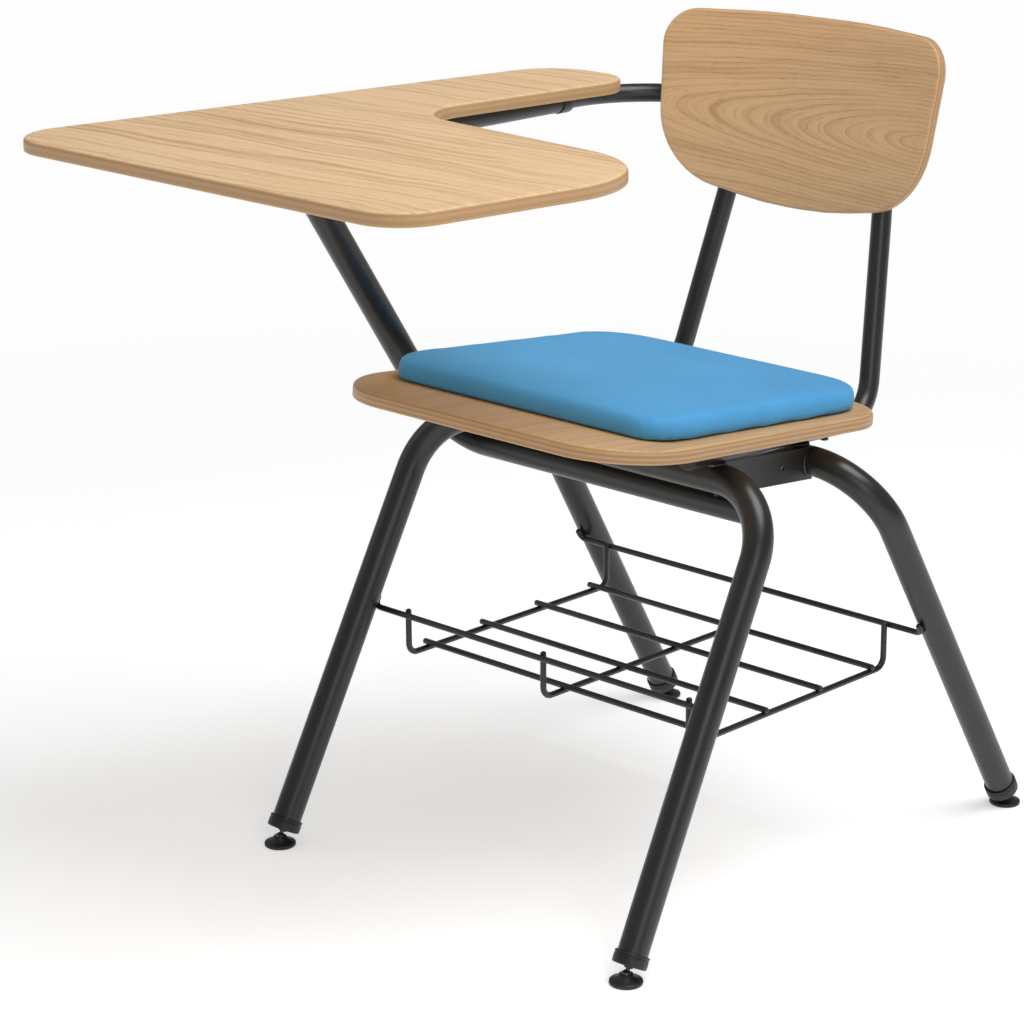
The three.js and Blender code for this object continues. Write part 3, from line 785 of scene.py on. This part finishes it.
for hand, side in (("right", -1), ("left", 1)):
    under = -(BACK_R + GAP)
    corners = [
        seat_point(side * UNDER_SEAT_FRONT[0], UNDER_SEAT_FRONT[1], under),
        seat_point(side * UNDER_SEAT_REAR[0], UNDER_SEAT_REAR[1], under),
        upright_point(side, KNEE[2]),
        upright_point(side, BACK_TOP[1]),
    ]
    path = bent_path(corners, BACK_BENDS)
    bar(f"{hand}_back_tube", path, BACK_R, [f"{hand}_back_upright"], sides=44)
    crown = [(4, 2.5), (0, 2.6)]
    ends = (("front", path[0][0], -path[0][1]), ("top", path[-1][0], path[-1][1]))
    for end, point, outward in ends:
        name, node = f"{hand}_{end}_plug", f"{hand}_{end}_tube_plug"
        plug(name, node, BACK_R, 0.25, (1.6, 0.5), crown, point, outward)

# ---------------------------------------------------------------- tablet support

STRUT_TOP = ARM_Z - 4
rise = STRUT_TOP - BAR_Z
support_path = bent_path(
    [
        (BAR_END, BAR_Y, BAR_Z),
        (SUPPORT_X, BAR_Y, BAR_Z),
        (SUPPORT_X, BAR_Y - STRUT_SLOPE * rise, STRUT_TOP),
    ],
    [STRUT_BEND],
)
bar("tablet_support", support_path, LEG_R, ["tablet_support_tube"], sides=56)
bar_end = (BAR_END, BAR_Y, BAR_Z)
bar_crown = [(6, 3), (0, 3)]
plug("crossbar_plug", "crossbar_end_plug", LEG_R, 0.25, (1.8, 0.9), bar_crown, bar_end, X_AXIS)

front_end, collar_end = Vector((SUPPORT_X, ARM_FRONT, ARM_Z)), Vector((SUPPORT_X, COLLAR_Y, ARM_Z))
bar("arm_main_tube", [(front_end, Y_AXIS), (collar_end, Y_AXIS)], ARM_R, ["arm_tube"], sides=48)
arm_crown = [(5, 2.4), (0, 2.5)]
plug("arm_front_plug", "arm_tube_front_plug", ARM_R, 0.2, (1.6, 0.5), arm_crown, front_end, -Y_AXIS)
collar_r, collar_bore = ARM_R + 1.2, STUB_R - 0.2
collar = [(collar_bore, 0), (collar_r - 0.8, 0)]
collar += arc(0.8, (collar_r - 0.8, 0.8), -90, 0, 4)
collar += arc(1.6, (collar_r - 1.6, COLLAR_LENGTH - 1.6), 0, 90, 5)
collar += [(collar_bore, COLLAR_LENGTH)]
turned(
    "arm_joint_collar", collar, "black_powder_coat", ["arm_collar"], collar_end, towards(Y_AXIS)
)
post = upright_point(-1, ARM_Z)
# How far the stub reaches into the arm tube, and how far short of the upright's axis it ends.
STUB_INSIDE, STUB_SHORT = 10, 4
stub_path = bent_path(
    [
        (SUPPORT_X, COLLAR_Y - STUB_INSIDE, ARM_Z),
        (SUPPORT_X, post.y, ARM_Z),
        (post.x - STUB_SHORT, post.y, ARM_Z),
    ],
    [STUB_BEND],
)
bar("arm_stub", stub_path, STUB_R, ["arm_stub_tube"], sides=44)

# ---------------------------------------------------------------- book rack

WIRE = {"sides": 20, "dome": 0.8}
WIRE_STEP = math.radians(9)
for i in range(4):
    y = CROSS_WIRE_Y + CROSS_WIRE_STEP * i
    stops = (-CROSS_WIRE_REACH, 0, CROSS_WIRE_REACH)
    path = [(Vector((x, y, RACK_FLOOR_Z)), X_AXIS) for x in stops]
    bar(f"cross_wire_{i + 1}", path, WIRE_R, [f"rack_cross_wire_{i + 1}"], **WIRE)
for i, hand in enumerate(("right", "middle", "left")):
    x = (i - 1) * LONG_WIRE_STEP
    low = RACK_FLOOR_Z - 2 * WIRE_R + GAP
    front_end, rear_end = (x, RACK_FRONT, LONG_WIRE_TOPS[0]), (x, RACK_REAR, LONG_WIRE_TOPS[1])
    corners = [front_end, (x, RACK_FRONT, low), (x, RACK_REAR, low), rear_end]
    path = bent_path(corners, [LONG_WIRE_BEND] * 2, WIRE_STEP)
    bar(f"{hand}_long_wire", path, WIRE_R, [f"rack_{hand}_long_wire"], **WIRE)


def rail_ends(end, side):
    """The corner and the turned-up tip of a rack rail, where it meets a leg."""
    wire_y, arch, outward = (RACK_FRONT, FRONT, -1) if end == "front" else (RACK_REAR, REAR, 1)
    slope = (arch["top"][1] - arch["foot"][1]) / arch_top_z(arch)
    corner = Vector((side * RAIL_X, wire_y + outward * (2 * WIRE_R + CONTACT), RAIL_Z))
    return corner, corner + Vector((0, slope * RAIL_RISE, RAIL_RISE))


for end in ("front", "rear"):
    (right, right_tip), (left, left_tip) = rail_ends(end, -1), rail_ends(end, 1)
    path = bent_path([right_tip, right, left, left_tip], [RAIL_BEND] * 2, WIRE_STEP)
    bar(f"{end}_rack_rail", path, WIRE_R, [f"rack_{end}_rail"], **WIRE)

# ---------------------------------------------------------------- boards in place

# How far the tablet's grain leans from its front edge, per millimetre.
GRAIN_LEAN = 0.04
tablet_corners = [
    (-385, -473, 51),
    (147, -480, 49),
    (189, -169, 115),
    (-191, -133, 60),
    (-158, 162, 42),
    (-279, 163, 62),
]
board(
    "writing_tablet",
    rounded_outline(tablet_corners),
    TABLET_THICK,
    (4.0, 1.4),
    lambda x, y, depth: (x, y, TABLET_Z + depth),
    lambda x, y: (x + GRAIN_LEAN * y, y - GRAIN_LEAN * x),
    "tablet_laminate",
    TABLET_WOOD,
    ["tablet_top"],
)
board(
    "seat_panel",
    rounded_outline(mirrored([(201, -255, 84), (190, 144, 64)])),
    SEAT_THICK,
    (4.0, 1.6),
    seat_point,
    lambda x, y: (y, x),
    "plywood",
    SEAT_WOOD,
    ["seat_board"],
)

BACK_Z, BACK_RADIUS, BACK_TOUCH_X = 695, 600, 80
BACK_CENTRE = upright_point(1, BACK_Z)
back_outer = BACK_RADIUS + BACK_THICK
# The axis of the backrest's curve, in front of the back tubes that it touches.
BACK_AXIS_Y = -(BACK_R + GAP) - math.sqrt(back_outer**2 - BACK_TOUCH_X**2)


def back_point(x, w, depth):
    """A point of the backrest: x across, w up its lean, depth in from the sitter's face."""
    radius = BACK_RADIUS + depth
    y = BACK_AXIS_Y + math.sqrt(radius**2 - x**2)
    return Vector(
        (
            x,
            BACK_CENTRE.y + y * math.cos(BACK_LEAN) + w * math.sin(BACK_LEAN),
            BACK_Z - y * math.sin(BACK_LEAN) + w * math.cos(BACK_LEAN),
        )
    )


back_outline = rounded_outline(
    mirrored([(39, -103, 390), (163.5, -84, 80), (177, 78.5, 37), (60, 86.5, 790)])
)
board(
    "back_panel",
    back_outline,
    BACK_THICK,
    (3.2, 3.2),
    back_point,
    lambda x, y: (x, y),
    "plywood",
    BACK_WOOD,
    ["backrest"],
    rings=14,
)

# ---------------------------------------------------------------- cushion

CUSHION_THICK, BLANK_LESS = 24, 1.5
# In metres: the most a point may move, the remeshing's cells, and the depth that is held.
PAD_PUFF, PAD_VOXEL, HELD_DEPTH = 0.004, 0.005, 0.002
CLOTH_FRAMES, SPREAD_ROUNDS, SMOOTH_ROUNDS = 20, 25, 3


def cushion_mesh():
    """The cushion's blank: a little smaller than the finished pad, with rounded edges."""
    outline = rounded_outline(mirrored([(179, -191, 36), (174, 133, 57)]), spacing=8)
    loops = []
    base = SEAT_THICK + GAP
    for inset, depth in edge_profile(CUSHION_THICK - BLANK_LESS, edge=6, lower_edge=3, steps=4):
        loops.append(
            [
                place(seat_point(p.x - n.x * inset, p.y - n.y * inset, base + depth))
                for p, n in outline
            ]
        )
    return loops_mesh("seat_cushion_pad", loops)


def puff(piece, cap):
    """Blows the pad up with cloth, its underside held, and no point moving over cap."""
    view = bpy.context.view_layer
    view.objects.active = piece
    remesh = piece.modifiers.new("remesh", "REMESH")
    remesh.mode = "VOXEL"
    remesh.voxel_size = PAD_VOXEL
    bpy.ops.object.modifier_apply(modifier=remesh.name)
    rest = [vertex.co.copy() for vertex in piece.data.vertices]
    normal = SEAT_TURN @ Z_AXIS
    base = place(seat_point(0, 0, SEAT_THICK + GAP))
    held = piece.vertex_groups.new(name="held")
    low = [i for i, co in enumerate(rest) if (co - base).dot(normal) < HELD_DEPTH]
    held.add(low, 1.0, "REPLACE")
    cloth = piece.modifiers.new("cloth", "CLOTH")
    cloth.settings.vertex_group_mass = held.name
    cloth.settings.use_pressure = True
    cloth.settings.uniform_pressure_force = 3
    cloth.settings.effector_weights.gravity = 0
    cloth.settings.tension_stiffness = 18
    cloth.settings.compression_stiffness = 12
    cloth.settings.bending_stiffness = 4
    cloth.point_cache.frame_end = CLOTH_FRAMES
    for step in range(1, CLOTH_FRAMES + 1):
        bpy.context.scene.frame_set(step)
    shaped = piece.evaluated_get(bpy.context.evaluated_depsgraph_get())
    blown = [vertex.co.copy() for vertex in shaped.data.vertices]
    piece.modifiers.remove(cloth)
    bpy.context.scene.frame_set(1)
    moves = [end - start for start, end in zip(rest, blown)]
    moves = [move * min(1, cap / max(move.length, 1e-9)) for move in moves]
    for _ in range(SPREAD_ROUNDS):
        moves = spread(piece.data, moves)
    for vertex, start, move in zip(piece.data.vertices, rest, moves):
        vertex.co = start + move


def spread(mesh, moves):
    """Each vertex's move averaged with its neighbours', which takes out the cloth's wrinkles."""
    totals = [move.copy() for move in moves]
    counts = [1] * len(moves)
    for edge in mesh.edges:
        first, second = edge.vertices
        totals[first] += moves[second]
        totals[second] += moves[first]
        counts[first] += 1
        counts[second] += 1
    return [total / count for total, count in zip(totals, counts)]


def smooth_pad(piece, rounds):
    """Takes the steps of the remeshing out of the pad's shape."""
    build = bmesh.new()
    build.from_mesh(piece.data)
    for _ in range(rounds):
        bmesh.ops.smooth_vert(
            build, verts=build.verts, factor=0.5, use_axis_x=True, use_axis_y=True, use_axis_z=True
        )
    build.to_mesh(piece.data)
    build.free()


pad = new_object("seat_cushion_pad", cushion_mesh())
pad.data.materials.append(FABRIC)
puff(pad, PAD_PUFF)
smooth_pad(pad, SMOOTH_ROUNDS)
divide = pad.modifiers.new("divide", "SUBSURF")
divide.levels = divide.render_levels = 1
bpy.ops.object.modifier_apply(modifier=divide.name)
for polygon in pad.data.polygons:
    polygon.use_smooth = True
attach(pad, "chair")
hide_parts("seat_cushion")

# ---------------------------------------------------------------- screws

HEAD_R, SHANK_R, TIP_R, TIP_LENGTH = 4.6, 2.1, 0.4, 2
HEAD_EDGE, HEAD_CROWN, DOME_R = 0.5, 2.1, 4.8
RECESS_REACH, RECESS_HALF, RECESS_FLOOR = 2.3, 0.5, -0.9
SCREW_SIDES = 40
# How far each kind of screw reaches past the underside of its head.
SEAT_SCREW, BACK_SCREW, TABLET_SCREW = 29.6, 26.3, 11.6
# Each tablet plate's row of screws: its Y, and each screw's X from the arm tube.
TABLET_SCREWS = (("front", -262, (-70, 60, 190)), ("rear", 35, (-22, 22)))


def dome_height(radius):
    """The height of a screw's domed head at a radius; the head is below its seat."""
    return -(HEAD_EDGE + HEAD_CROWN * math.sqrt(max(0, 1 - (radius / DOME_R) ** 2)))


def cross_radius(angle):
    """How far a cross recess reaches from the middle at an angle."""
    folded = abs((angle + math.pi / 4) % (math.pi / 2) - math.pi / 4)
    return min(RECESS_REACH / math.cos(folded), RECESS_HALF / max(math.sin(folded), 0.01))


def screw(node, seat, direction, length):
    """A pan-head screw with a cross recess, its head behind the seat and its shank ahead."""
    turn = towards(direction)
    angles = full_turn(SCREW_SIDES)
    turned_rows = [(TIP_R, length), (SHANK_R, length - TIP_LENGTH), (SHANK_R, 0), (HEAD_R - 0.1, 0)]
    turned_rows += [(radius, dome_height(radius)) for radius in (HEAD_R, 4.4, 4.0, 3.4, 2.8)]
    rows = [([radius] * SCREW_SIDES, [height] * SCREW_SIDES) for radius, height in turned_rows]
    recess = [cross_radius(angle) for angle in angles]
    rows.append((recess, [dome_height(radius) for radius in recess]))
    rows.append(([radius * 0.8 for radius in recess], [RECESS_FLOOR] * SCREW_SIDES))
    loops = [
        [
            place(seat + turn @ Vector((r * math.cos(a), r * math.sin(a), z)))
            for a, r, z in zip(angles, radii, heights)
        ]
        for radii, heights in rows
    ]
    mesh = loops_mesh(f"{node}_detailed", loops)
    finish_piece(f"{node}_detailed", mesh, "zinc_black_screws", [node])


TOWARDS_SITTER = Vector((0, -math.cos(BACK_LEAN), math.sin(BACK_LEAN)))
for hand, side in (("right", -1), ("left", 1)):
    for end, y in zip(("front", "rear"), SEAT_SCREW_Y):
        seat = seat_point(side * under_seat_x(y), y, -2 * (BACK_R + GAP))
        screw(f"{hand}_{end}_seat_screw", seat, SEAT_TURN @ Z_AXIS, SEAT_SCREW)
    for level, z in zip(("lower", "upper"), BACK_SCREW_Z):
        seat = upright_point(side, z) - TOWARDS_SITTER * (BACK_R + GAP)
        screw(f"{hand}_{level}_back_screw", seat, TOWARDS_SITTER, BACK_SCREW)
for plate, y, offsets in TABLET_SCREWS:
    for i, offset in enumerate(offsets):
        seat = Vector((SUPPORT_X + offset, y, ARM_Z + ARM_R))
        screw(f"{plate}_tablet_screw_{i + 1}", seat, Z_AXIS, TABLET_SCREW)

# ---------------------------------------------------------------- welds

# The X of the beads along a side plate's two faces, and the radii of the beads.
PLATE_FACES = (("inner", 148), ("outer", 152))
PLATE_BEAD, TUBE_BEAD, RAIL_BEAD = 1.7, 1.9, 2.2
BEAD_SIDES, BEAD_RIPPLE, ARC_STEPS = 10, 0.14, 24
# A direction that no weld runs along, to lay out a bead's cross section from.
BEAD_UP = Vector((0.21, 0.34, 0.92))


def weld(name, points, radius, ring=False):
    """A bead of weld along points, with the ripples that its steps leave."""
    points = [Vector(point) for point in points]
    count = len(points)
    loops = []
    for i, point in enumerate(points):
        before = points[(i - 1) % count if ring else max(i - 1, 0)]
        after = points[(i + 1) % count if ring else min(i + 1, count - 1)]
        ahead = (after - before).normalized()
        side = ahead.cross(BEAD_UP).normalized()
        other = ahead.cross(side)
        thick = radius * (1 + BEAD_RIPPLE * math.sin(i * math.pi / 2))
        if not ring:
            thick *= math.sqrt(max(0.05, 1 - (2 * i / (count - 1) - 1) ** 4))
        offsets = [side * math.cos(a) + other * math.sin(a) for a in full_turn(BEAD_SIDES)]
        loops.append([place(point + offset * thick) for offset in offsets])
    finish_piece(name, loops_mesh(name, loops, ring), "black_powder_coat", sharp=70)


def bead_arc(centre, axis_a, axis_b, start, end):
    """Points on an arc whose two half axes are given, between two angles in degrees."""
    turn = (end - start) / ARC_STEPS
    angles = [math.radians(start + turn * k) for k in range(ARC_STEPS + 1)]
    return [centre + axis_a * math.cos(a) + axis_b * math.sin(a) for a in angles]


PLATE_REACH, CONTACT_RING, RAIL_SHIFT = LEG_R + 0.4, 6.6, 2.6
for hand, side in (("right", -1), ("left", 1)):
    for end, arch, inward in (("front", FRONT, 1), ("rear", REAR, -1)):
        arch_y = arch["top"][1]
        top = Vector((0, arch_y, arch_top_z(arch)))
        for face, x in PLATE_FACES:
            axes = (Y_AXIS * inward * PLATE_REACH, Z_AXIS * PLATE_REACH)
            bead = bead_arc(top + X_AXIS * side * x, *axes, -62, 44)
            weld(f"{hand}_{end}_{face}_plate_weld", bead, PLATE_BEAD)
        touch_z = seat_point(0, arch_y, -2 * (BACK_R + GAP)).z
        centre = Vector((side * under_seat_x(arch_y), arch_y, touch_z))
        bead = bead_arc(centre, X_AXIS * CONTACT_RING, Y_AXIS * CONTACT_RING, 0, 345)
        weld(f"{hand}_{end}_back_tube_weld", bead, TUBE_BEAD, ring=True)
        corner, tip = rail_ends(end, side)
        shift = -Y_AXIS * inward * RAIL_SHIFT
        bead = [corner.lerp(tip, k / 8) + shift for k in range(9)]
        weld(f"{hand}_{end}_rail_weld", bead, RAIL_BEAD)
bead = []
STUB_SPREAD, STUB_SINK = 1.03, 0.5
for angle in full_turn(48):
    across, up = STUB_R * math.cos(angle), STUB_R * math.sin(angle)
    x = post.x - math.sqrt(BACK_R**2 - across**2) - STUB_SINK
    bead.append((x, post.y + across * STUB_SPREAD, ARM_Z + up * STUB_SPREAD))
weld("arm_stub_weld", bead, PLATE_BEAD, ring=True)

# ---------------------------------------------------------------- kept CAD nodes

# The flat plates are shown as the CAD has them, with the frame's powder coat.
for name in ("right_side_plate", "left_side_plate", "front_tablet_plate", "rear_tablet_plate"):
    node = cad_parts[name]
    node.data.materials.clear()
    node.data.materials.append(STEEL)

# ---------------------------------------------------------------- camera, light and floor

CAMERA_POINT = (1963.3, -2233.9, 1246.6)
# The azimuth and elevation that the camera looks from in degrees, and its roll in radians.
CAMERA_AZIMUTH, CAMERA_ELEVATION, CAMERA_ROLL = 43.577, 17.158, -0.0028
SENSOR, LENS, LENS_SHIFT = 36, 112.275703125, (-0.015947265625, -0.000673828125)


def camera():
    """The camera, with its place in the chair's layout, in millimetres."""
    azimuth, elevation = math.radians(CAMERA_AZIMUTH), math.radians(CAMERA_ELEVATION)
    roll = CAMERA_ROLL
    back = Vector(
        (
            math.sin(azimuth) * math.cos(elevation),
            -math.cos(azimuth) * math.cos(elevation),
            math.sin(elevation),
        )
    )
    right = Vector((math.cos(azimuth), math.sin(azimuth), 0))
    up = back.cross(right)
    across = right * math.cos(roll) + up * math.sin(roll)
    upward = up * math.cos(roll) - right * math.sin(roll)
    data = bpy.data.cameras.new("camera")
    data.sensor_width = SENSOR
    data.lens = LENS
    data.shift_x, data.shift_y = LENS_SHIFT
    data.clip_end = 50
    item = new_object("camera", data)
    turn = Matrix((across, upward, back)).transposed().to_4x4()
    item.matrix_world = Matrix.Translation(place(CAMERA_POINT)) @ turn
    bpy.context.scene.camera = item


def area_light(name, point, target, size, power):
    data = bpy.data.lights.new(name, "AREA")
    data.shape = "RECTANGLE"
    data.size, data.size_y = size
    data.energy = power
    item = new_object(name, data)
    item.location = point
    item.rotation_euler = (Vector(target) - Vector(point)).to_track_quat("-Z", "Y").to_euler()


def floor():
    """A pale floor that takes soft shadows near the chair and is an even white further out."""
    graph = Graph("studio_floor", Roughness=0.9, Specular_IOR_Level=0.1)
    space = object_space(graph)
    away = graph.node("VectorMath", {0: space}, operation="LENGTH").outputs["Value"]
    inputs = {"Value": away, "From Min": 0.7, "From Max": 2.4, "To Min": 0.0, "To Max": 1.0}
    far = graph.node("MapRange", inputs, interpolation_type="SMOOTHSTEP").outputs[0]
    dust = graph.noise(space, scale=3, detail=2, roughness=0.5)
    near_colour = graph.ramp(dust, (0.3, (0.835, 0.845, 0.855)), (0.7, (0.855, 0.865, 0.875)))
    graph.colour(graph.mix(far, near_colour, (0.02, 0.02, 0.02, 1)))
    glow = graph.math("MULTIPLY_ADD", far, 0.53, 0.44)
    graph.join(glow, graph.shader.inputs["Emission Strength"])
    graph.shader.inputs["Emission Color"].default_value = (1, 1, 1, 1)
    build = bmesh.new()
    bmesh.ops.create_grid(build, x_segments=2, y_segments=2, size=30)
    mesh = bpy.data.meshes.new("floor")
    build.to_mesh(mesh)
    build.free()
    mesh.materials.append(graph.material)
    item = new_object("floor", mesh)


camera()
floor()
area_light("key", (1.0, 0.2, 2.9), target=(0, 0, 0.4), size=(1.8, 1.8), power=54)
area_light("fill", (2.9, -2.2, 1.9), target=(0, 0, 0.4), size=(1.8, 2.0), power=19)
area_light("side", (-2.8, -1.6, 2.2), target=(0, 0, 0.5), size=(1.6, 2.0), power=6)

world = bpy.data.worlds.new("studio")
world.use_nodes = True
sky = world.node_tree.nodes["Background"]
sky.inputs["Color"].default_value = (1, 1, 1, 1)
sky.inputs["Strength"].default_value = 0.3
bpy.context.scene.world = world
bpy.context.scene.view_settings.view_transform = "Standard"
